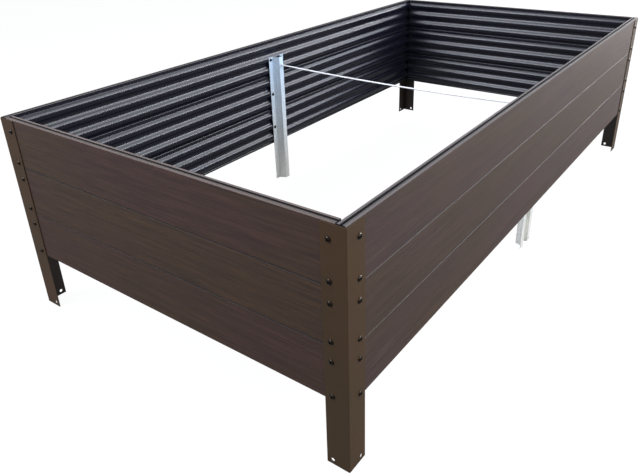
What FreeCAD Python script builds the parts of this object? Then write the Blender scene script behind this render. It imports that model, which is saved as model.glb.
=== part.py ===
import FreeCAD, Part
import math
import os
import Sketcher

# Raised garden bed with no floor: four walls of three composite boards each, held by four
# angle posts, with a channel post half way along each long wall and a thin tie rod across.
# Millimetres, +Z up. The origin is on the ground under the middle of the bed. X runs along
# the long walls and Y across, from the front wall (-Y) to the back wall (+Y).

Vector = FreeCAD.Vector
Rotation = FreeCAD.Rotation
Placement = FreeCAD.Placement

# Driving dimensions: alias, value, meaning.
SIZES = [
    ("bed_length", 2406, "length over the corner posts"),
    ("bed_width", 1220, "width over the corner posts"),
    ("leg_height", 195, "ground to the underside of the lowest board"),
    ("board_height", 151, "height that one board adds to its wall"),
    ("rim_thickness", 22, "board thickness at its top edge"),
    ("ridge_rise", 4, "ridge crests beyond the top edge, towards the soil"),
    ("ridge_depth", 10, "crest to valley of the ridged inner face"),
    ("top_margin", 5, "top edge of a board to its highest valley"),
    ("bottom_margin", 1, "bottom edge of a board to its lowest valley"),
    ("inner_lip", 6.5, "thickness of the lip inside the groove"),
    ("lip_height", 10, "height of the flat band along the inner top edge"),
    ("tongue_shoulder", 1, "bottom edge of a board beyond its tongue"),
    ("groove_width", 6.5, "width of the groove in the top edge"),
    ("groove_depth", 7.5, "depth of the groove in the top edge"),
    ("tongue_gap", 0.3, "room round a tongue in its groove"),
    ("seam_chamfer", 2, "bevel along the outer edges of a board"),
    ("butt_gap", 0.3, "room between an end board and the long wall's crests"),
    ("post_flange", 64, "width of each flange of a corner post"),
    ("post_sheet", 2.5, "sheet thickness of a corner post"),
    ("post_bend", 2, "outer bend radius of a corner post"),
    ("post_drop", 3, "rim to the top of a corner post"),
    ("corner_to_screw", 44, "outer corner to the line of corner screws"),
    ("top_to_screw", 39, "top edge of a board to its upper corner screw"),
    ("bottom_to_screw", 14.5, "bottom edge of a board to its lower corner screw"),
    ("shank_diameter", 5.5, "screw shank"),
    ("screw_length", 16, "screw under its head"),
    ("point_length", 5, "conical point of a screw"),
    ("head_diameter", 14, "domed screw head"),
    ("head_height", 4.5, "domed screw head"),
    ("head_rim", 1, "straight rim of the screw head"),
    ("socket_width", 4, "hexagon socket across its flats"),
    ("socket_depth", 2.5, "hexagon socket"),
    ("sheet_hole_room", 1, "screw hole in sheet, wider than the shank by this"),
    ("pilot_room", 0.2, "screw hole in a board, wider than the shank by this"),
    ("pilot_end_room", 1, "screw hole in a board, deeper than the point by this"),
    ("foot_hole", 11, "anchor hole near the foot of a corner post"),
    ("foot_hole_height", 13, "ground to the middle of an anchor hole"),
    ("foot_hole_edge", 16, "free edge of the flange to the middle of an anchor hole"),
    ("channel_width", 92, "mid post over its flanges"),
    ("channel_web", 24, "flat front of a mid post"),
    ("channel_depth", 31, "mid post from its back plane to its front"),
    ("channel_draft", 21, "lean of the sides of a mid post, in degrees"),
    ("channel_sheet", 2, "sheet thickness of a mid post"),
    ("channel_drop", 70, "rim to the top of a mid post"),
    ("channel_lift", 15, "ground to the foot of a mid post"),
    ("channel_gap", 0.2, "room between a mid post and the ridge crests"),
    ("channel_screw_edge", 11, "edge of a mid post to its line of screws"),
    ("channel_screw_drop", 80, "top edge of a board to its mid-post screws"),
    ("brace_diameter", 6, "tie rod"),
    ("brace_drop", 35, "top of a mid post to the tie rod"),
    ("brace_bow", 10.5, "how far the middle of the tie rod hangs below its ends"),
    ("brace_hole_room", 1, "rod hole in a mid post, wider than the rod by this"),
    ("brace_end", 8, "tie rod beyond the inner side of a mid post's front"),
    ("nut_width", 10, "hexagon nut across its flats"),
    ("nut_thickness", 5, "hexagon nut"),
    ("nut_gap", 0.3, "room between the tie rod and the bore of its nuts"),
]

COURSES = ("bottom", "middle", "top")
RIDGES_PER_BOARD = 3
FULL_TURN = 360
QUARTER_TURN = 90
HEXAGON_SIDES = 6

doc = FreeCAD.newDocument("raised_garden_bed")
sheet = doc.addObject("Spreadsheet::Sheet", "size")
for row, (alias, amount, meaning) in enumerate(SIZES, start=1):
    sheet.set(f"A{row}", alias)
    sheet.set(f"B{row}", str(amount))
    sheet.set(f"C{row}", meaning)
    sheet.setAlias(f"B{row}", alias)
doc.recompute()

# Sizes that follow from the driving dimensions, as expressions on the sheet.
RIM = f"(size.leg_height + {len(COURSES)} * size.board_height)"
WALL = "(size.rim_thickness + size.ridge_rise)"
LONG_BOARD = "(size.bed_length - 2 * size.post_sheet)"
END_BOARD = f"(size.bed_width - 2 * (size.post_sheet + {WALL} + size.butt_gap))"
LONG_INSET = "(size.corner_to_screw - size.post_sheet)"
END_INSET = f"({LONG_INSET} - {WALL} - size.butt_gap)"
POST_HEIGHT = f"({RIM} - size.post_drop)"
CHANNEL_HEIGHT = f"({RIM} - size.channel_drop - size.channel_lift)"
CHANNEL_BACK = f"(size.bed_width / 2 - size.post_sheet - {WALL} - size.channel_gap)"
CHANNEL_FRONT = f"({CHANNEL_BACK} - size.channel_depth)"
BRACE_DRILL = f"({CHANNEL_HEIGHT} - size.brace_drop)"
BRACE_HEIGHT = f"({BRACE_DRILL} + size.channel_lift)"
BRACE_RADIUS = f"(({CHANNEL_FRONT} ^ 2 + size.brace_bow ^ 2) / (2 * size.brace_bow))"
BRACE_CENTRE_HEIGHT = f"({BRACE_HEIGHT} - size.brace_bow + {BRACE_RADIUS})"
SHEET_HOLE = "(size.shank_diameter + size.sheet_hole_room)"
PILOT_HOLE = "(size.shank_diameter + size.pilot_room)"
PILOT_DEPTH = "(size.screw_length - size.post_sheet + size.pilot_end_room)"
CHANNEL_PILOT_DEPTH = (
    "(size.screw_length - size.channel_sheet - size.channel_gap + size.pilot_end_room)"
)
TONGUE = "(size.groove_depth - size.tongue_gap)"

parts = []


def value(expression):
    """The number that an expression on the sheet stands for now."""
    return float(sheet.evalExpression(expression))


def origin_feature(body, role):
    for feature in body.Origin.OriginFeatures:
        if feature.Role == role:
            return feature
    raise ValueError(f"{body.Name} has no {role}")


def new_body(name):
    body = doc.addObject("PartDesign::Body", name)
    body.Label = name
    parts.append(body)
    return body


def place(item, x, y, z, turn=0):
    """Turn an item about the vertical and bind its position to the sheet."""
    item.Placement = Placement(Vector(), Rotation(Vector(0, 0, 1), turn))
    for axis, expression in zip("xyz", (x, y, z)):
        item.setExpression(f".Placement.Base.{axis}", expression)


def new_sketch(body, role, name, offset=None):
    """A sketch on one of the body's own planes, or at an offset along that plane's normal."""
    sketch = body.newObject("Sketcher::SketchObject", f"{body.Name}_{name}")
    sketch.AttachmentSupport = [(origin_feature(body, role), "")]
    sketch.MapMode = "FlatFace"
    if offset:
        sketch.setExpression(".AttachmentOffset.Base.z", offset)
    return sketch


def pin(sketch, edge, end, x, y):
    """Hold one point of a sketch at a place given by two expressions."""
    for kind, axis_line, expression in (("DistanceX", -2, x), ("DistanceY", -1, y)):
        if expression == "0":
            sketch.addConstraint(Sketcher.Constraint("PointOnObject", edge, end, axis_line))
            continue
        index = sketch.addConstraint(
            Sketcher.Constraint(kind, -1, 1, edge, end, value(expression))
        )
        sketch.setExpression(f"Constraints[{index}]", expression)


def arc_between(start, end, radius, bulge):
    """Arc of under a half circle: bulge 1 swells to the right of start-to-end, -1 to the left."""
    chord = end - start
    middle = (start + end) * 0.5
    left = Vector(-chord.y, chord.x, 0).normalize()
    centre = middle + left * bulge * math.sqrt(radius**2 - (chord.Length / 2) ** 2)
    first, last = (start, end) if bulge > 0 else (end, start)
    angles = [math.atan2(point.y - centre.y, point.x - centre.x) for point in (first, last)]
    return Part.ArcOfCircle(Part.Circle(centre, Vector(0, 0, 1), radius), *angles)


def outline(sketch, corners):
    """Closed outline. A corner is (x, y), or (x, y, radius, bulge) where an arc leaves it."""
    points = [Vector(value(corner[0]), value(corner[1]), 0) for corner in corners]
    starts, ends, edges = [], [], []
    for index, corner in enumerate(corners):
        start, end = points[index], points[(index + 1) % len(points)]
        if len(corner) == 2:
            edges.append(sketch.addGeometry(Part.LineSegment(start, end)))
            starts.append(1)
            ends.append(2)
        else:
            radius, bulge = corner[2:]
            edge = sketch.addGeometry(arc_between(start, end, value(radius), bulge))
            edges.append(edge)
            starts.append(1 if bulge > 0 else 2)
            ends.append(2 if bulge > 0 else 1)
    for index, corner in enumerate(corners):
        before = index - 1
        sketch.addConstraint(Sketcher.Constraint(
            "Coincident", edges[before], ends[before], edges[index], starts[index]
        ))
        pin(sketch, edges[index], starts[index], corner[0], corner[1])
        if len(corner) > 2:
            held = sketch.addConstraint(
                Sketcher.Constraint("Radius", edges[index], value(corner[2]))
            )
            sketch.setExpression(f"Constraints[{held}]", corner[2])


def pad(body, sketch, length):
    feature = body.newObject("PartDesign::Pad", f"{body.Name}_pad")
    feature.Profile = sketch
    feature.setExpression("Length", length)
    doc.recompute()
    return feature


def drill(body, role, name, spots, diameter, depth=None, offset=None, backwards=False):
    """Round holes at (x, y) spots of a plane: to a depth, or right through from the plane."""
    sketch = new_sketch(body, role, name, offset)
    for x, y in spots:
        middle = Vector(value(x), value(y), 0)
        edge = sketch.addGeometry(Part.Circle(middle, Vector(0, 0, 1), value(diameter) / 2))
        pin(sketch, edge, 3, x, y)
        held = sketch.addConstraint(Sketcher.Constraint("Diameter", edge, value(diameter)))
        sketch.setExpression(f"Constraints[{held}]", diameter)
    volume_before = body.Shape.Volume
    pocket = body.newObject("PartDesign::Pocket", f"{body.Name}_{name}_pocket")
    pocket.Profile = sketch
    pocket.Reversed = backwards
    if depth:
        pocket.setExpression("Length", depth)
    else:
        pocket.Type = "ThroughAll"
    doc.recompute()
    if body.Shape.Volume >= volume_before:
        raise RuntimeError(f"{pocket.Name} cuts nothing")
    return pocket


def repeat_up(body, pocket, name):
    """Repeat a hole pattern once for each course of boards."""
    pattern = body.newObject("PartDesign::LinearPattern", f"{body.Name}_{name}_courses")
    pattern.Originals = [pocket]
    pattern.Direction = (origin_feature(body, "Z_Axis"), [""])
    pattern.Occurrences = len(COURSES)
    pattern.setExpression("Length", f"{len(COURSES) - 1} * size.board_height")
    body.Tip = pattern
    doc.recompute()
    return pattern


# ---- corner posts ----------------------------------------------------------------------


def corner_post(name, x, y, turn):
    """Bent steel angle; its own origin is its outer corner on the ground."""
    body = new_body(name)
    section = new_sketch(body, "XY_Plane", "section")
    outline(section, [
        ("size.post_bend", "0"),
        ("size.post_flange", "0"),
        ("size.post_flange", "size.post_sheet"),
        ("size.post_sheet", "size.post_sheet"),
        ("size.post_sheet", "size.post_flange"),
        ("0", "size.post_flange"),
        ("0", "size.post_bend", "size.post_bend", 1),
    ])
    pad(body, section, POST_HEIGHT)
    screw_spots = [
        ("size.corner_to_screw", "size.leg_height + size.bottom_to_screw"),
        ("size.corner_to_screw", "size.leg_height + size.board_height - size.top_to_screw"),
    ]
    foot_spot = [("size.post_flange - size.foot_hole_edge", "size.foot_hole_height")]
    for role, side, backwards in (("XZ_Plane", "first", False), ("YZ_Plane", "second", True)):
        screws = drill(
            body, role, f"{side}_screws", screw_spots, SHEET_HOLE,
            depth="size.post_sheet", backwards=backwards,
        )
        repeat_up(body, screws, side)
        drill(
            body, role, f"{side}_foot", foot_spot, "size.foot_hole",
            depth="size.post_sheet", backwards=backwards,
        )
    place(body, x, y, "0", turn)
    return body


# ---- wall boards -----------------------------------------------------------------------


def board_section(body):
    """Section of a board, outer face on the upright axis and tongue tip on the level axis."""
    base = TONGUE
    top = f"({base} + size.board_height)"
    land = "(size.rim_thickness - size.inner_lip + size.tongue_shoulder)"
    groove = "(size.rim_thickness - size.inner_lip - size.groove_width)"
    valley = f"({WALL} - size.ridge_depth)"
    flank = f"({valley} + size.ridge_depth / 2)"
    ridged_height = "(size.board_height - size.top_margin - size.bottom_margin)"
    pitch = f"({ridged_height} / {RIDGES_PER_BOARD})"
    radius = f"((({pitch} / 4) ^ 2 + (size.ridge_depth / 2) ^ 2) / size.ridge_depth)"
    ledge = f"({valley} + {radius} - sqrt({radius} ^ 2 - (size.lip_height - size.top_margin) ^ 2))"
    corners = [
        (f"{groove} + size.tongue_gap", "0"),
        (f"{groove} + size.groove_width - size.tongue_gap", "0"),
        (f"{groove} + size.groove_width - size.tongue_gap", base),
        (land, base),
        (valley, f"{base} + size.bottom_margin", radius, -1),
    ]
    for ridge in range(RIDGES_PER_BOARD):
        foot = f"{base} + size.bottom_margin + {pitch} * ({ridge} + 1 / 4)"
        head = f"{base} + size.bottom_margin + {pitch} * ({ridge} + 3 / 4)"
        corners.append((flank, foot, radius, 1))
        corners.append((flank, head, radius, -1))
    corners += [
        (ledge, f"{top} - size.lip_height"),
        ("size.rim_thickness", f"{top} - size.lip_height"),
        ("size.rim_thickness", top),
        (f"{groove} + size.groove_width", top),
        (f"{groove} + size.groove_width", f"{top} - size.groove_depth"),
        (groove, f"{top} - size.groove_depth"),
        (groove, top),
        ("size.seam_chamfer", top),
        ("0", f"{top} - size.seam_chamfer"),
        ("0", f"{base} + size.seam_chamfer"),
        ("size.seam_chamfer", base),
        (f"{groove} + size.tongue_gap", base),
    ]
    section = new_sketch(body, "YZ_Plane", "section")
    outline(section, corners)
    return section


def board(name, length, inset):
    """Board lying along its own X from 0 to its length, outer face on its own Y = 0."""
    body = new_body(name)
    pad(body, board_section(body), length)
    low = f"{TONGUE} + size.bottom_to_screw"
    high = f"{TONGUE} + size.board_height - size.top_to_screw"
    spots = [(x, z) for x in (inset, f"{length} - {inset}") for z in (low, high)]
    drill(body, "XZ_Plane", "corner_screws", spots, PILOT_HOLE, depth=PILOT_DEPTH)
    return body


def drill_for_mid_post(body):
    """Holes from the inner side of a long board for the screws of the mid post."""
    reach = "(size.channel_width / 2 - size.channel_screw_edge)"
    height = f"{TONGUE} + size.board_height - size.channel_screw_drop"
    spots = [(f"{LONG_BOARD} / 2 {sign} {reach}", height) for sign in "-+"]
    bottom = f"-({WALL} - {CHANNEL_PILOT_DEPTH})"
    drill(body, "XZ_Plane", "mid_screws", spots, PILOT_HOLE, offset=bottom)


def walls():
    face_y = "(size.bed_width / 2 - size.post_sheet)"
    face_x = "(size.bed_length / 2 - size.post_sheet)"
    for course, course_name in enumerate(COURSES):
        level = f"size.leg_height + {course} * size.board_height - {TONGUE}"
        front = board(f"front_board_{course_name}", LONG_BOARD, LONG_INSET)
        drill_for_mid_post(front)
        place(front, f"-{LONG_BOARD} / 2", f"-{face_y}", level)
        back = board(f"back_board_{course_name}", LONG_BOARD, LONG_INSET)
        drill_for_mid_post(back)
        place(back, f"{LONG_BOARD} / 2", face_y, level, 2 * QUARTER_TURN)
        left = board(f"left_end_board_{course_name}", END_BOARD, END_INSET)
        place(left, f"-{face_x}", f"{END_BOARD} / 2", level, -QUARTER_TURN)
        right = board(f"right_end_board_{course_name}", END_BOARD, END_INSET)
        place(right, face_x, f"-{END_BOARD} / 2", level, QUARTER_TURN)


# ---- mid posts -------------------------------------------------------------------------


def mid_post(name, x, y, turn):
    """Channel with two flanges, its foot just off the ground; its own Y = 0 is its back plane."""
    body = new_body(name)
    lean = "tan(size.channel_draft * 1 deg)"
    side = "(size.channel_sheet / cos(size.channel_draft * 1 deg))"
    web = "(size.channel_width / 2 - size.channel_web / 2)"
    outer_root = f"({web} - {lean} * (size.channel_depth - size.channel_sheet))"
    inner_root = f"({web} - {lean} * size.channel_depth + {side})"
    inner_web = f"({inner_root} + {lean} * (size.channel_depth - size.channel_sheet))"
    half = [
        ("0", "0"),
        (inner_root, "0"),
        (inner_web, "size.channel_depth - size.channel_sheet"),
    ]
    outer_half = [
        (web, "size.channel_depth"),
        (outer_root, "size.channel_sheet"),
        ("0", "size.channel_sheet"),
    ]
    far_half = [(f"size.channel_width - {px}", py) for px, py in reversed(half)]
    far_outer = [(f"size.channel_width - {px}", py) for px, py in reversed(outer_half)]
    section = new_sketch(body, "XY_Plane", "section")
    outline(section, half + far_half + far_outer + outer_half)
    pad(body, section, CHANNEL_HEIGHT)
    first_rim = "(size.leg_height + size.board_height - size.channel_lift)"
    height = f"{first_rim} - size.channel_screw_drop"
    spots = [
        ("size.channel_screw_edge", height),
        ("size.channel_width - size.channel_screw_edge", height),
    ]
    screws = drill(body, "XZ_Plane", "screws", spots, SHEET_HOLE)
    repeat_up(body, screws, "screws")
    rod_spot = [("size.channel_width / 2", BRACE_DRILL)]
    drill(body, "XZ_Plane", "rod", rod_spot, "size.brace_diameter + size.brace_hole_room")
    place(body, x, y, "size.channel_lift", turn)
    return body


# ---- tie rod ---------------------------------------------------------------------------


def brace_rod():
    """The rod hangs in one gentle arc through the fronts of both mid posts."""
    half_reach = f"({CHANNEL_FRONT} + size.channel_sheet + size.brace_end)"
    rod = doc.addObject("Part::Torus", "brace_rod")
    rod.Label = "brace_rod"
    rod.setExpression("Radius1", BRACE_RADIUS)
    rod.setExpression("Radius2", "size.brace_diameter / 2")
    rod.setExpression("Angle3", f"2 * asin({half_reach} / {BRACE_RADIUS})")
    doc.recompute()
    # The ring lies across the bed with its centre far overhead, and its arc is at the bottom.
    half_angle = rod.Angle3.Value / 2
    upright = Rotation(Vector(0, 1, 0), Vector(0, 0, 1), Vector(1, 0, 0), "ZXY")
    start = Rotation(Vector(0, 0, 1), -QUARTER_TURN - half_angle)
    rod.Placement = Placement(Vector(), upright.multiply(start))
    rod.setExpression(".Placement.Base.z", BRACE_CENTRE_HEIGHT)
    parts.append(rod)
    return rod


# ---- screws and nuts -------------------------------------------------------------------


def hexagon(flats, height):
    """Upright hexagonal prism on the plane Z = 0."""
    step = FULL_TURN / HEXAGON_SIDES
    corner = Vector(flats / 2 / math.cos(math.radians(step / 2)), 0, 0)
    points = [
        Rotation(Vector(0, 0, 1), step * side).multVec(corner)
        for side in range(HEXAGON_SIDES + 1)
    ]
    return Part.Face(Part.makePolygon(points)).extrude(Vector(0, 0, height))


def screw_shape():
    """Domed socket screw along Z, its head on the plane Z = 0 and its point below."""
    head = value("size.head_diameter") / 2
    rim = value("size.head_rim")
    height = value("size.head_height")
    shank = value("size.shank_diameter") / 2
    length = value("size.screw_length")
    point = value("size.point_length")
    dome_rise = height - rim
    dome_radius = (head**2 + dome_rise**2) / (2 * dome_rise)
    half_way = math.asin(head / dome_radius) / 2
    shoulder = Vector(
        dome_radius * math.sin(half_way), 0, height - dome_radius * (1 - math.cos(half_way))
    )
    dome = Part.Arc(Vector(0, 0, height), shoulder, Vector(head, 0, rim)).toShape()
    sides = Part.makePolygon([
        Vector(head, 0, rim),
        Vector(head, 0, 0),
        Vector(shank, 0, 0),
        Vector(shank, 0, point - length),
        Vector(0, 0, -length),
        Vector(0, 0, height),
    ])
    half_section = Part.Face(Part.Wire([dome] + sides.Edges))
    solid = half_section.revolve(Vector(), Vector(0, 0, 1), FULL_TURN)
    socket = hexagon(value("size.socket_width"), height)
    socket.translate(Vector(0, 0, height - value("size.socket_depth")))
    return solid.cut(socket)


def nut_shape():
    """Hexagon nut along Z from the plane Z = 0, with a plain bore."""
    thickness = value("size.nut_thickness")
    bore = value("size.brace_diameter") / 2 + value("size.nut_gap")
    return hexagon(value("size.nut_width"), thickness).cut(Part.makeCylinder(bore, thickness))


def group(name, shape, spots):
    """Copies of one shape at (position, direction) spots, kept together as one sub-part."""
    copies = []
    for position, direction in spots:
        copy = shape.copy()
        copy.Placement = Placement(position, Rotation(Vector(0, 0, 1), direction))
        copies.append(copy)
    item = doc.addObject("Part::Feature", name)
    item.Label = name
    item.Shape = Part.makeCompound(copies)
    item.Placement = Placement()
    parts.append(item)
    return item


def corner_screws():
    """Two screws for each course in each flange of each corner post."""
    screw = screw_shape()
    half_length = value("size.bed_length") / 2
    half_width = value("size.bed_width") / 2
    inset = value("size.corner_to_screw")
    levels = []
    for course in range(len(COURSES)):
        base = value(f"size.leg_height + {course} * size.board_height")
        levels.append(base + value("size.bottom_to_screw"))
        levels.append(base + value("size.board_height - size.top_to_screw"))
    for wall, y_side in (("front", -1), ("back", 1)):
        for end, x_side in (("left", -1), ("right", 1)):
            x, y = x_side * half_length, y_side * half_width
            long_spots = [
                (Vector(x - x_side * inset, y, level), Vector(0, y_side, 0)) for level in levels
            ]
            end_spots = [
                (Vector(x, y - y_side * inset, level), Vector(x_side, 0, 0)) for level in levels
            ]
            group(f"corner_screws_{wall}_{end}_long_flange", screw, long_spots)
            group(f"corner_screws_{wall}_{end}_end_flange", screw, end_spots)


def mid_post_screws():
    """One screw for each course in each flange of each mid post."""
    screw = screw_shape()
    seat = value(f"{CHANNEL_BACK} - size.channel_sheet")
    reach = value("size.channel_width / 2 - size.channel_screw_edge")
    for wall, y_side in (("front", -1), ("back", 1)):
        spots = []
        for course in range(len(COURSES)):
            level = value(
                f"size.leg_height + {course + 1} * size.board_height - size.channel_screw_drop"
            )
            for x in (-reach, reach):
                spots.append((Vector(x, y_side * seat, level), Vector(0, -y_side, 0)))
        group(f"mid_post_screws_{wall}", screw, spots)


def brace_nuts():
    """A nut on each side of each mid post's front, centred on the bowed rod."""
    nut = nut_shape()
    thickness = value("size.nut_thickness")
    front = value(CHANNEL_FRONT)
    radius = value(BRACE_RADIUS)
    centre_height = value(BRACE_CENTRE_HEIGHT)
    for wall, y_side in (("front", -1), ("back", 1)):
        spots = []
        for start in (front - thickness, front + value("size.channel_sheet")):
            middle = start + thickness / 2
            level = centre_height - math.sqrt(radius**2 - middle**2)
            spots.append((Vector(0, y_side * start, level), Vector(0, y_side, 0)))
        group(f"brace_nuts_{wall}", nut, spots)


# ---- the whole bed ---------------------------------------------------------------------

corner_post("corner_post_front_left", "-size.bed_length / 2", "-size.bed_width / 2", 0)
corner_post("corner_post_front_right", "size.bed_length / 2", "-size.bed_width / 2", QUARTER_TURN)
corner_post("corner_post_back_right", "size.bed_length / 2", "size.bed_width / 2", 2 * QUARTER_TURN)
corner_post("corner_post_back_left", "-size.bed_length / 2", "size.bed_width / 2", -QUARTER_TURN)
walls()
mid_post("mid_post_front", "-size.channel_width / 2", f"-{CHANNEL_BACK}", 0)
mid_post("mid_post_back", "size.channel_width / 2", CHANNEL_BACK, 2 * QUARTER_TURN)
brace_rod()
corner_screws()
mid_post_screws()
brace_nuts()

doc.recompute()
for item in doc.Objects:
    if "Invalid" in item.State or "Error" in item.State:
        raise RuntimeError(f"{item.Name} did not compute: {item.State}")
for item in parts:
    if item.Shape.isNull() or not item.Shape.isValid():
        raise RuntimeError(f"{item.Label} has no sound shape")

os.makedirs("parts", exist_ok=True)
for item in parts:
    item.Shape.exportStep(os.path.join("parts", f"{item.Label}.step"))
    print(f"{item.Label}: {len(item.Shape.Solids)} solid(s), {item.Shape.Volume / 1000:.1f} cm3")
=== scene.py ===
import math

import bpy
from mathutils import Matrix, Vector


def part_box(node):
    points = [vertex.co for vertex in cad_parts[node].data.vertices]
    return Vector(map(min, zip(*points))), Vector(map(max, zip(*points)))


# Looks of a raised garden bed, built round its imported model. Metres, +Z up, X along the long walls.

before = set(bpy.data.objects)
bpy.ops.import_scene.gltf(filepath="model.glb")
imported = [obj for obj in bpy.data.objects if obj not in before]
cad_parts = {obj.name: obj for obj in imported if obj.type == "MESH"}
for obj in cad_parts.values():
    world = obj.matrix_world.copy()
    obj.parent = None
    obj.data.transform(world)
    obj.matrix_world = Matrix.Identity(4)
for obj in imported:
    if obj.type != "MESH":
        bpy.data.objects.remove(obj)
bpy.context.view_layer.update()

# ---- sizes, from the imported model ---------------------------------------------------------

COURSES = 3                 # boards above each other in a wall
MIDDLE_COURSE = 1           # counted from 0 at the bottom
WALL_FACE_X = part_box("right_end_board_top")[1].x
WALL_FACE_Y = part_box("back_board_top")[1].y
POST_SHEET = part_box("corner_post_back_right")[1].x - WALL_FACE_X
RIM_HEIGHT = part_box("back_board_top")[1].z
BOARD_HEIGHT = (RIM_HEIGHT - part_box("back_board_bottom")[1].z) / (COURSES - 1)
LEG_HEIGHT = RIM_HEIGHT - COURSES * BOARD_HEIGHT

# The profile of a board, which its box doesn't tell.
RIM_THICKNESS = 0.022
INNER_LIP = 0.0065          # thickness of the lip inside the groove
GROOVE_WIDTH = 0.0065
CHAMFER = 0.002             # bevel along the outer edges

# Depths behind the outer face of a wall. Each zone reaches a margin past the face that bounds it.
MARGIN = 0.0002
GROOVE_DEPTH = RIM_THICKNESS - INNER_LIP - GROOVE_WIDTH - MARGIN
FILM_DEPTH = RIM_THICKNESS - INNER_LIP + MARGIN

# ---- camera -------------------------------------------------------------------------------

# The view of the photograph, fitted to the corners, seams and screws of the bed. Pixels are those of
# the photograph's own frame.
IMAGE_WIDTH, IMAGE_HEIGHT = 640, 474
FOCAL_PIXELS = 623.59
CENTRE_U, CENTRE_V = 325.42, 195.77

SENSOR_WIDTH = 36.0         # millimetres
CLIP_START, CLIP_END = 0.05, 100
CAMERA_PLACE = Vector((-2.038, -1.1869, 1.2083))
CAMERA_YAW = math.radians(36.748)
CAMERA_DIP = math.radians(25.945)
CAMERA_ROLL = math.radians(-1.7416)


def make_camera():
    ahead = Vector((
        math.cos(CAMERA_YAW) * math.cos(CAMERA_DIP),
        math.sin(CAMERA_YAW) * math.cos(CAMERA_DIP),
        -math.sin(CAMERA_DIP),
    ))
    level_right = Vector((math.sin(CAMERA_YAW), -math.cos(CAMERA_YAW), 0))
    level_up = level_right.cross(ahead)
    right = math.cos(CAMERA_ROLL) * level_right + math.sin(CAMERA_ROLL) * level_up
    up = -math.sin(CAMERA_ROLL) * level_right + math.cos(CAMERA_ROLL) * level_up
    data = bpy.data.cameras.new("camera")
    data.sensor_width = SENSOR_WIDTH
    data.lens = FOCAL_PIXELS / IMAGE_WIDTH * SENSOR_WIDTH
    data.shift_x = (IMAGE_WIDTH / 2 - CENTRE_U) / IMAGE_WIDTH
    data.shift_y = (CENTRE_V - IMAGE_HEIGHT / 2) / IMAGE_WIDTH
    data.clip_start = CLIP_START
    data.clip_end = CLIP_END
    camera = bpy.data.objects.new("camera", data)
    turn = Matrix((right, up, -ahead)).transposed().to_4x4()
    camera.matrix_world = Matrix.Translation(CAMERA_PLACE) @ turn
    bpy.context.scene.collection.objects.link(camera)
    bpy.context.scene.camera = camera


# ---- node trees ---------------------------------------------------------------------------

# A Mix node's two colour inputs and its colour output.
MIX_FIRST, MIX_SECOND, MIX_RESULT = 6, 7, 2


class Tree:
    """A node tree under construction: short calls for the node kinds used here."""

    def __init__(self, owner):
        owner.use_nodes = True
        self.tree = owner.node_tree
        self.tree.nodes.clear()

    def node(self, kind, **settings):
        node = self.tree.nodes.new(kind)
        for key, setting in settings.items():
            setattr(node, key, setting)
        return node

    def feed(self, socket, source):
        """Link the socket to another node's output, or set it to a number or a colour."""
        if hasattr(source, "is_linked"):
            self.tree.links.new(source, socket)
        else:
            socket.default_value = source

    def feed_all(self, sockets, sources):
        for socket, source in zip(sockets, sources):
            self.feed(socket, source)

    def math(self, operation, *sources, clamp=False):
        node = self.node("ShaderNodeMath", operation=operation, use_clamp=clamp)
        self.feed_all(node.inputs, sources)
        return node.outputs[0]

    def times(self, first, second):
        return self.math("MULTIPLY", first, second)

    def beyond(self, value, limit):
        """Mask of the places where the value is larger than the limit."""
        return self.math("GREATER_THAN", value, limit)

    def larger(self, first, second):
        return self.math("MAXIMUM", first, second)

    def rest(self, mask):
        """The mask of what another mask leaves."""
        return self.math("SUBTRACT", 1.0, mask)

    def split(self, vector):
        """The X, Y and Z of a vector."""
        node = self.node("ShaderNodeSeparateXYZ")
        self.feed(node.inputs[0], vector)
        return node.outputs

    def join(self, x, y, z):
        node = self.node("ShaderNodeCombineXYZ")
        self.feed_all(node.inputs, (x, y, z))
        return node.outputs[0]

    def spread(self, value, low, high, to_low=0.0, to_high=1.0, smooth=False):
        """Map the range from low to high onto another, and clamp what lies outside it."""
        node = self.node("ShaderNodeMapRange")
        node.interpolation_type = "SMOOTHSTEP" if smooth else "LINEAR"
        self.feed_all(node.inputs, (value, low, high, to_low, to_high))
        return node.outputs[0]

    def blend(self, factor, first, second, kind="MIX"):
        node = self.node("ShaderNodeMix", data_type="RGBA", blend_type=kind)
        sockets = node.inputs["Factor"], node.inputs[MIX_FIRST], node.inputs[MIX_SECOND]
        self.feed_all(sockets, (factor, first, second))
        return node.outputs[MIX_RESULT]

    def scaled(self, colour, level):
        """A colour made lighter or darker."""
        return self.blend(1.0, colour, self.join(level, level, level), "MULTIPLY")


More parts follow.
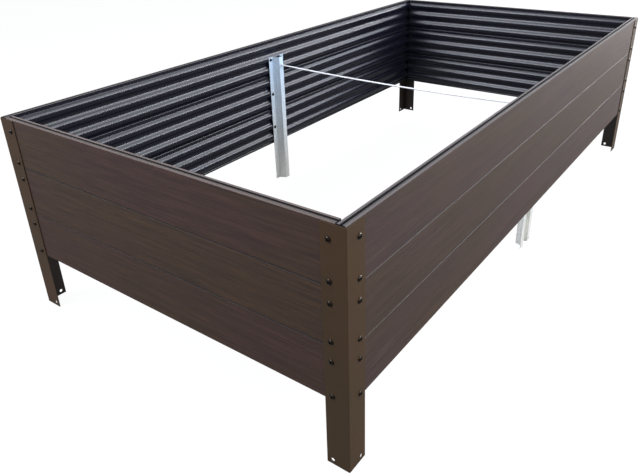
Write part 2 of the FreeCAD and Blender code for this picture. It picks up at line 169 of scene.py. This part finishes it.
class Shade(Tree):
    """A material under construction, with its one surface shader."""

    def __init__(self, name):
        self.material = bpy.data.materials.new(name)
        super().__init__(self.material)
        self.surface = self.node("ShaderNodeBsdfPrincipled")
        output = self.node("ShaderNodeOutputMaterial")
        self.feed(output.inputs["Surface"], self.surface.outputs["BSDF"])

    def place(self):
        """The point's position in the object's frame."""
        return self.node("ShaderNodeTexCoord").outputs["Object"]

    def normal(self):
        return self.node("ShaderNodeTexCoord").outputs["Normal"]

    def noise(self, vector, scale, detail, roughness=0.5, distortion=0.0):
        node = self.node("ShaderNodeTexNoise")
        names = ("Vector", "Scale", "Detail", "Roughness", "Distortion")
        sockets = [node.inputs[name] for name in names]
        self.feed_all(sockets, (vector, scale, detail, roughness, distortion))
        return node.outputs["Fac"]

    def cells(self, vector, scale):
        """Small cells, each with a colour of its own."""
        node = self.node("ShaderNodeTexVoronoi", feature="F1")
        self.feed_all((node.inputs["Vector"], node.inputs["Scale"]), (vector, scale))
        return node.outputs["Color"]

    def bump(self, height, distance, strength):
        node = self.node("ShaderNodeBump")
        sockets = [node.inputs[name] for name in ("Height", "Distance", "Strength")]
        self.feed_all(sockets, (height, distance, strength))
        return node.outputs[0]

    def finished(self, settings):
        """The material, once its surface shader has these numbers, colours and links."""
        for name, source in settings.items():
            self.feed(self.surface.inputs[name], source)
        return self.material


def srgb(red, green, blue):
    """Linear colour of an sRGB colour given as 0 to 255."""
    def linear(level):
        level /= 255
        return level / 12.92 if level <= 0.04045 else ((level + 0.055) / 1.055) ** 2.4
    return (linear(red), linear(green), linear(blue), 1.0)


NOISE_RANGE = 0.3, 0.7      # where most values of a noise texture lie
PATCH_RANGE = 0.35, 0.65    # values of it over which one colour turns into another

# ---- boards -------------------------------------------------------------------------------

FACING_UP = 0.6, 0.7        # z of the normal: from here a face starts to count, and fully counts
COURSE_TOLERANCE = 0.1      # how far a whole course number may be off
COURSE_SHIFT = 7.31         # the grain is shifted from course to course
SIDE_SHIFT = 3.77           # and from wall to wall
GRAIN_DRAW = 0.03           # the smaller, the longer the grain along the board
BLOTCH_DRAW = 0.35
MIDDLE_LEAN = 0.12          # how much more olive the middle course is
LEAN_RANGE = 0.4, 0.66      # over which plum turns into olive
STREAK, FLECK = 0.26, 0.34  # contrast of the coarse and the fine grain
SHADE_START = 0.3 * GROOVE_DEPTH    # painted shade on the cut edge deepens from here to the groove
SHADE_AT_GROOVE = 0.2
FINE_RELIEF = 0.7           # height of the fine grain beside the coarse
RELIEF_HEIGHT = 0.0006
CUT_ROUGHNESS = 0.85
FILM_PALE, FILM_DARK = srgb(15, 15, 31), srgb(10, 10, 22)
# Painted shade in the grooves, along the seams and on the up-facing ledges at the joints.
PAINTED_SHADE_COLOUR = srgb(8, 7, 8)


def board_grain(shade, along, off, height, course):
    """Fine grain, coarse grain and blotches, different on each board."""
    side = shade.math("SIGN", off)
    shift = shade.math("ADD", shade.times(course, COURSE_SHIFT), shade.times(side, SIDE_SHIFT))
    shifted = shade.math("ADD", along, shift)
    grain_place = shade.join(shade.times(shifted, GRAIN_DRAW), off, height)
    blotch_place = shade.join(shade.times(shifted, BLOTCH_DRAW), off, height)
    fine = shade.noise(grain_place, scale=260, detail=3, roughness=0.6)
    coarse = shade.noise(grain_place, scale=90, detail=4, roughness=0.55, distortion=0.4)
    blotch = shade.noise(blotch_place, scale=7, detail=3)
    return fine, coarse, blotch


def board_zones(shade, depth, inner, height, seam_shade):
    """Masks of the cut top edge, the smooth inner film, and the painted shade on the ledges, grooves and
    seams.
    """
    facing_up = shade.spread(shade.split(shade.normal())["Z"], *FACING_UP)
    top_edge = shade.times(facing_up, shade.beyond(height, RIM_HEIGHT - CHAMFER - MARGIN))
    film = shade.times(inner, shade.rest(top_edge))
    # The up-facing ledges at the joints, the groove and the seams take painted shade.
    ledge = shade.times(film, facing_up)
    outside = shade.rest(shade.larger(film, top_edge))
    groove = shade.times(shade.beyond(depth, GROOVE_DEPTH), shade.rest(inner))
    seam = shade.times(shade.beyond(depth, MARGIN), seam_shade)
    painted_shade = shade.larger(shade.times(outside, shade.larger(groove, seam)), ledge)
    return top_edge, film, painted_shade


def skin_colour(shade, fine, coarse, blotch, course, plum, olive):
    """The grained outer face, between plum and olive."""
    middle = shade.math("COMPARE", course, MIDDLE_COURSE, COURSE_TOLERANCE)
    lean = shade.math("MULTIPLY_ADD", middle, MIDDLE_LEAN, blotch)
    hue = shade.spread(lean, *LEAN_RANGE, smooth=True)
    streak = shade.spread(coarse, *NOISE_RANGE, to_low=1 - STREAK, to_high=1 + STREAK)
    fleck = shade.spread(fine, *NOISE_RANGE, to_low=1 - FLECK, to_high=1 + FLECK)
    return shade.scaled(shade.blend(hue, plum, olive), shade.times(streak, fleck))


def cut_colour(shade, depth, inner, coarse, pale, dark):
    """The cut top edge, pale partly as painted light from above: painted shade deepens towards the groove,
    none on the inner lip.
    """
    level = shade.spread(depth, SHADE_START, GROOVE_DEPTH, to_low=1.0, to_high=SHADE_AT_GROOVE)
    colour = shade.blend(shade.spread(coarse, *PATCH_RANGE), pale, dark)
    return shade.scaled(colour, shade.larger(level, inner))


def board_material(name, lengthwise, across, outer_face, plum, olive, cut_pale, cut_dark, seam_shade):
    """Composite board: grained matt outside, cut top edges with some painted light, smooth dark ridged
    inside, painted shade in recesses.
    """
    shade = Shade(name)
    place = shade.split(shade.place())
    along, off, height = place[lengthwise], place[across], place["Z"]
    depth = shade.math("SUBTRACT", outer_face, shade.math("ABSOLUTE", off))
    inner = shade.beyond(depth, FILM_DEPTH)
    above_legs = shade.math("SUBTRACT", height, LEG_HEIGHT - MARGIN)
    course = shade.math("FLOOR", shade.math("DIVIDE", above_legs, BOARD_HEIGHT))
    fine, coarse, blotch = board_grain(shade, along, off, height, course)
    top_edge, film, painted_shade = board_zones(shade, depth, inner, height, seam_shade)

    skin = skin_colour(shade, fine, coarse, blotch, course, plum, olive)
    # The top edge's pale colour is partly a paler cut surface and partly painted light from above.
    cut = cut_colour(shade, depth, inner, coarse, cut_pale, cut_dark)
    film_colour = shade.blend(shade.spread(coarse, *PATCH_RANGE), FILM_PALE, FILM_DARK)
    colour = shade.blend(top_edge, skin, cut)
    colour = shade.blend(film, colour, film_colour)
    # Painted shade over the grooves, seams and ledges.
    colour = shade.blend(painted_shade, colour, PAINTED_SHADE_COLOUR)

    matt = shade.spread(fine, *NOISE_RANGE, to_low=0.56, to_high=0.68)
    sleek = shade.spread(coarse, *NOISE_RANGE, to_low=0.24, to_high=0.32)
    faces = shade.spread(film, 0.0, 1.0, to_low=matt, to_high=sleek)
    dull = shade.larger(painted_shade, shade.times(top_edge, CUT_ROUGHNESS))

    relief = shade.math("ADD", shade.times(fine, FINE_RELIEF), coarse)
    strength = shade.spread(film, 0.0, 1.0, to_low=0.8, to_high=0.06)
    return shade.finished({
        "Base Color": colour,
        "Roughness": shade.larger(faces, dull),
        "Specular IOR Level": 0.6,
        "Normal": shade.bump(relief, distance=RELIEF_HEIGHT, strength=strength),
    })


# ---- metal --------------------------------------------------------------------------------

SKY_TINT_HEIGHTS = 0.1, 0.55    # painted cool sky reflection: the mid posts turn from a warm to a cool grey between these
ROLLED_DRAW = 0.04          # the smaller, the longer the rolling streaks up a mid post
DRAWN_DRAW = 0.05           # and the drawing marks along the rod
WARM_GLINT = (1.0, 0.8, 0.62, 1.0)


def post_material():
    """Bronze-brown powder coat, with painted shade on the side towards the boards."""
    shade = Shade("post_powder_coat")
    place = shade.place()
    x, y, _ = shade.split(place)
    peel = shade.noise(place, scale=900, detail=2)
    cloud = shade.noise(place, scale=6, detail=3)
    outer = shade.blend(shade.spread(cloud, *PATCH_RANGE), srgb(66, 45, 23), srgb(60, 43, 21))
    # Painted shade on the post's inner side, inside the bed.
    painted_shade_side = shade.times(
        shade.math("LESS_THAN", shade.math("ABSOLUTE", x), WALL_FACE_X + POST_SHEET / 2),
        shade.math("LESS_THAN", shade.math("ABSOLUTE", y), WALL_FACE_Y + POST_SHEET / 2),
    )
    return shade.finished({
        "Base Color": shade.blend(painted_shade_side, outer, srgb(27, 18, 11)),
        "Roughness": shade.spread(peel, *NOISE_RANGE, to_low=0.42, to_high=0.52),
        "Specular IOR Level": 0.5,
        "Normal": shade.bump(peel, distance=0.0002, strength=0.35),
    })


def galvanised_material():
    """Hot-dip galvanised sheet: spangle, faint rolling streaks, and a painted cool sky reflection higher
    up.
    """
    shade = Shade("galvanised_sheet")
    place = shade.place()
    x, y, z = shade.split(place)
    spangle = shade.split(shade.cells(place, scale=140))
    streak = shade.noise(shade.join(x, y, shade.times(z, ROLLED_DRAW)), scale=260, detail=3)
    level = shade.times(
        shade.spread(spangle["X"], 0.0, 1.0, to_low=0.94, to_high=1.06),
        shade.spread(streak, *NOISE_RANGE, to_low=0.9, to_high=1.08),
    )
    # Painted reflection of the cool sky: warm grey low down, cool grey higher up.
    painted_sky_tint = shade.blend(shade.spread(z, *SKY_TINT_HEIGHTS), srgb(228, 227, 219), srgb(205, 226, 246))
    return shade.finished({
        "Base Color": shade.scaled(painted_sky_tint, level),
        "Metallic": 0.15,
        "Roughness": shade.spread(spangle["Y"], 0.0, 1.0, to_low=0.34, to_high=0.46),
        "Normal": shade.bump(streak, distance=0.0002, strength=0.3),
    })


def screw_material():
    """Black-coated steel."""
    shade = Shade("black_screw")
    grit = shade.noise(shade.place(), scale=1200, detail=2)
    return shade.finished({
        "Base Color": shade.blend(shade.spread(grit, *NOISE_RANGE), srgb(8, 8, 8), srgb(12, 11, 11)),
        "Roughness": shade.spread(grit, *NOISE_RANGE, to_low=0.14, to_high=0.22),
        "Specular IOR Level": 0.3,
        "Specular Tint": WARM_GLINT,
        "Normal": shade.bump(grit, distance=0.0001, strength=0.3),
    })


def rod_material():
    """Bright zinc-plated rod and nuts."""
    shade = Shade("zinc_rod")
    x, y, z = shade.split(shade.place())
    drawn = shade.noise(shade.join(x, shade.times(y, DRAWN_DRAW), z), scale=900, detail=2)
    pale, dark = srgb(232, 232, 232), srgb(218, 219, 220)
    return shade.finished({
        "Base Color": shade.blend(shade.spread(drawn, *NOISE_RANGE), pale, dark),
        "Metallic": 0.1,
        "Roughness": shade.spread(drawn, *NOISE_RANGE, to_low=0.24, to_high=0.36),
        "Normal": shade.bump(drawn, distance=0.0001, strength=0.25),
    })


def dress():
    """Give each node the material of the first entry that its name starts with."""
    # The pale top-edge colours are partly painted light from above, and the painted shade along the seams
    # is deeper on the end boards than on the long ones.
    long_board = board_material(
        "long_board", lengthwise="X", across="Y", outer_face=WALL_FACE_Y,
        plum=srgb(56, 38, 32), olive=srgb(55, 38, 24),
        cut_pale=srgb(90, 83, 81), cut_dark=srgb(75, 68, 66), seam_shade=0.7,
    )
    end_board = board_material(
        "end_board", lengthwise="Y", across="X", outer_face=WALL_FACE_X,
        plum=srgb(57, 35, 27), olive=srgb(56, 37, 20),
        cut_pale=srgb(98, 85, 79), cut_dark=srgb(82, 70, 65), seam_shade=0.9,
    )
    screw = screw_material()
    materials = {
        "front_board": long_board,
        "back_board": long_board,
        "left_end_board": end_board,
        "right_end_board": end_board,
        "corner_post": post_material(),
        "corner_screws": screw,
        "mid_post_screws": screw,
        "mid_post": galvanised_material(),
        "brace": rod_material(),
    }
    for name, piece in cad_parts.items():
        start = next(start for start in materials if name.startswith(start))
        piece.data.materials.clear()
        piece.data.materials.append(materials[start])


# ---- stage and light ----------------------------------------------------------------------

HORIZON = (0.55, 0.55, 0.55, 1.0)
SKY = (0.66, 0.7, 0.78, 1.0)
SKY_HEIGHT = 0.9            # z of a direction at which the horizon has turned into sky
WORLD_IN_GLOSS = 0.2        # how much of the plain white reflections show
FLOOR_IN_GLOSS = 0.12
FLOOR_SPAN = 60
FLOOR_PAINT = 0.9           # tone of the floor for the camera
FLOOR_BOUNCE = 0.1          # and as it lights the bed from below
FLOOR_WHITE = 0.93          # the rest of the floor is lit paint, which holds the shadow

NEUTRAL = (1.0, 1.0, 1.0)
COOL = (0.85, 0.885, 1.0)
PALE_COOL = (0.92, 0.95, 1.0)
DEEP_COOL = (0.78, 0.86, 1.0)

# Bearing from +X and height above the ground in degrees, sizes in metres.
LAMPS = {
    "box_front_right": {"bearing": -54, "rise": 40, "size": (6, 3.4), "glow": 3, "colour": COOL},
    "strip_front_right": {"bearing": -52, "rise": 24, "size": (3.8, 0.5), "glow": 15, "colour": PALE_COOL},
    "box_far_right": {"bearing": -8, "rise": 30, "size": (2.4, 1.6), "glow": 2.5, "colour": DEEP_COOL},
    "box_front": {"bearing": -105, "rise": 25, "size": (4, 2), "glow": 2.8},
    "box_back_left": {"bearing": 152, "rise": 48, "size": (2.4, 4.4), "glow": 3.4, "colour": COOL},
    "strip_back_left": {"bearing": 154, "rise": 34, "size": (2.4, 0.5), "glow": 18, "colour": COOL},
    "box_back": {"bearing": 120, "rise": 55, "size": (2.4, 2.4), "glow": 3, "colour": COOL},
    "box_right": {"bearing": -8, "rise": 10, "size": (3.4, 1.5), "glow": 18, "distance": 6},
}


def white_share(tree, in_gloss):
    """How much of the plain white background a ray sees: 1 for the camera, less in reflections."""
    path = tree.node("ShaderNodeLightPath").outputs
    seen = tree.math("MULTIPLY_ADD", path["Is Glossy Ray"], in_gloss, path["Is Camera Ray"])
    return tree.math("ADD", seen, path["Is Transmission Ray"], clamp=True)


def show_mix(tree, output_kind, share, first, second):
    """End a tree with a mix of two shaders."""
    mix = tree.node("ShaderNodeMixShader")
    tree.feed_all(mix.inputs, (share, first, second))
    tree.feed(tree.node(output_kind).inputs["Surface"], mix.outputs[0])


def make_floor():
    bpy.ops.mesh.primitive_plane_add(size=FLOOR_SPAN, location=(0, 0, 0))
    floor = bpy.context.object
    floor.name = "floor"
    material = bpy.data.materials.new("floor")
    tree = Tree(material)
    camera_ray = tree.node("ShaderNodeLightPath").outputs["Is Camera Ray"]
    matt = tree.node("ShaderNodeBsdfDiffuse")
    tone = tree.spread(camera_ray, 0.0, 1.0, to_low=FLOOR_BOUNCE, to_high=FLOOR_PAINT)
    tree.feed(matt.inputs["Color"], tone)
    white = tree.node("ShaderNodeEmission")
    share = tree.times(white_share(tree, FLOOR_IN_GLOSS), FLOOR_WHITE)
    show_mix(tree, "ShaderNodeOutputMaterial", share, matt.outputs[0], white.outputs[0])
    floor.data.materials.append(material)


def make_world():
    world = bpy.data.worlds.new("studio")
    bpy.context.scene.world = world
    tree = Tree(world)
    height = tree.split(tree.node("ShaderNodeTexCoord").outputs["Generated"])["Z"]
    room = tree.node("ShaderNodeBackground")
    tree.feed(room.inputs["Color"], tree.blend(tree.spread(height, 0.0, SKY_HEIGHT), HORIZON, SKY))
    white = tree.node("ShaderNodeBackground")
    tree.feed(white.inputs["Color"], (*NEUTRAL, 1.0))
    share = white_share(tree, WORLD_IN_GLOSS)
    show_mix(tree, "ShaderNodeOutputWorld", share, room.outputs[0], white.outputs[0])


def soft_box(name, bearing, rise, size, glow, colour=NEUTRAL, distance=5):
    """Soft box that faces the bed and glows as brightly as glow says, where 1 is white."""
    bearing, rise = math.radians(bearing), math.radians(rise)
    aim = Vector((
        math.cos(bearing) * math.cos(rise),
        math.sin(bearing) * math.cos(rise),
        math.sin(rise),
    ))
    data = bpy.data.lights.new(name, "AREA")
    data.shape = "RECTANGLE"
    data.size, data.size_y = size
    data.energy = glow * math.pi * data.size * data.size_y
    data.color = colour
    light = bpy.data.objects.new(name, data)
    light.location = aim * distance
    light.rotation_euler = (-aim).to_track_quat("-Z", "Y").to_euler()
    light.visible_camera = False
    bpy.context.scene.collection.objects.link(light)


# ---- the scene ----------------------------------------------------------------------------

make_camera()
dress()
make_floor()
make_world()
for lamp_name, lamp in LAMPS.items():
    soft_box(lamp_name, **lamp)
bpy.context.scene.view_settings.view_transform = "Standard"
